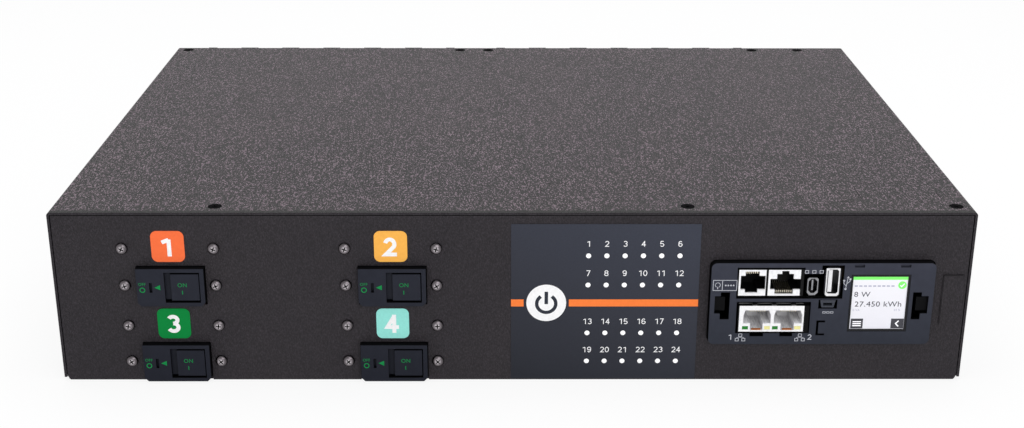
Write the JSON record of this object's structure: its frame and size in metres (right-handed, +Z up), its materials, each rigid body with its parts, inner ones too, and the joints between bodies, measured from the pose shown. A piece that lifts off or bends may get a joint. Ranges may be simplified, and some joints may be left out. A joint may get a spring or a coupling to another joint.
{
  "type": "rack power distribution unit",
  "caption": "Flat steel casing with tilting breaker rockers, numbered status lights, a clip-in monitoring module with a small display in front, and rows of power outlets behind.",
  "frame": {"origin": "centre of the casing's footprint, on the underside", "axes": "+X to the right seen from the front panel, +Y from the front panel to the outlets, +Z up"},
  "size_m": [0.44, 0.3346, 0.088],
  "materials": {
    "casing_paint": "fine wrinkle powder coat",
    "black_screws": "black oxide",
    "zinc_fixings": "zinc plated",
    "brass_fixings": "bright",
    "breaker_plastic": "fine moulded texture",
    "rocker_plastic": "satin",
    "copper": "tinned copper",
    "label_orange": "printed film",
    "label_amber": "printed film",
    "label_green": "printed film",
    "label_mint": "printed film",
    "overlay_film": "printed film",
    "light_lens": "clear",
    "board_laminate": "solder mask",
    "badge_black": "satin",
    "module_plastic": "fine moulded texture",
    "socket_white": "satin",
    "port_metal": "bright nickel",
    "port_black": "satin",
    "shield_metal": "nickel plated",
    "link_lights": "clear tinted",
    "display_black": "gloss",
    "display_face": "lit",
    "outlet_plastic": "fine moulded texture",
    "gland_plastic": "satin",
    "seal_rubber": "matte",
    "relay_plastic": "satin",
    "block_plastic": "satin"
  },
  "bodies": {
    "casing": {"chassis_tray": "casing_paint", "top_cover": "casing_paint", "cover_screws": "black_screws", "breaker_screws": "black_screws", "ear_nuts": "zinc_fixings", "board_screws": "zinc_fixings", "terminal_screws": "zinc_fixings", "earth_stud": "zinc_fixings", "earth_nut": "zinc_fixings", "board_standoffs": "brass_fixings", "breaker_case_1": "breaker_plastic", "breaker_case_2": "breaker_plastic", "breaker_case_3": "breaker_plastic", "breaker_case_4": "breaker_plastic", "breaker_terminals": "copper", "outlet_contacts": "copper", "supply_bars": "copper", "load_bars": "copper", "earth_bar": "copper", "jack_contacts": "copper", "circuit_label_1": "label_orange", "circuit_label_2": "label_amber", "circuit_label_3": "label_green", "circuit_label_4": "label_mint", "status_overlay": "overlay_film", "light_strips": "light_lens", "status_leds": "light_lens", "status_board": "board_laminate", "monitor_board": "board_laminate", "outlet_boards": "board_laminate", "supply_board": "board_laminate", "badge_plate": "badge_black", "monitor_housing": "module_plastic", "sensor_jack": "socket_white", "serial_jack": "socket_white", "host_port_tongue": "socket_white", "service_port": "port_metal", "host_port_shell": "port_metal", "power_port": "port_black", "network_jack": "shield_metal", "network_lights": "link_lights", "display_frame": "display_black", "display_panel": "display_face", "outlet_bank_1": "outlet_plastic", "outlet_bank_2": "outlet_plastic", "outlet_bank_3": "outlet_plastic", "outlet_bank_4": "outlet_plastic", "gland_body": "gland_plastic", "gland_nut": "gland_plastic", "gland_locknut": "gland_plastic", "gland_seal": "seal_rubber", "outlet_relays": "relay_plastic", "supply_transformer": "relay_plastic", "supply_capacitors": "relay_plastic", "terminal_block": "block_plastic"},
    "rocker_1": {"breaker_rocker_1": "rocker_plastic"},
    "rocker_2": {"breaker_rocker_2": "rocker_plastic"},
    "rocker_3": {"breaker_rocker_3": "rocker_plastic"},
    "rocker_4": {"breaker_rocker_4": "rocker_plastic"}
  },
  "joints": [
    {"name": "rocker_1_tilt", "type": "hinge", "parent": "casing", "child": "rocker_1", "pos_m": [-0.1647, -0.1477, 0.0508], "axis": [0, 0, -1], "range_deg": [0, 16]},
    {"name": "rocker_2_tilt", "type": "hinge", "parent": "casing", "child": "rocker_2", "pos_m": [-0.0588, -0.1477, 0.0508], "axis": [0, 0, -1], "range_deg": [0, 16]},
    {"name": "rocker_3_tilt", "type": "hinge", "parent": "casing", "child": "rocker_3", "pos_m": [-0.1647, -0.1477, 0.0106], "axis": [0, 0, -1], "range_deg": [0, 16]},
    {"name": "rocker_4_tilt", "type": "hinge", "parent": "casing", "child": "rocker_4", "pos_m": [-0.0588, -0.1477, 0.0106], "axis": [0, 0, -1], "range_deg": [0, 16]}
  ]
}
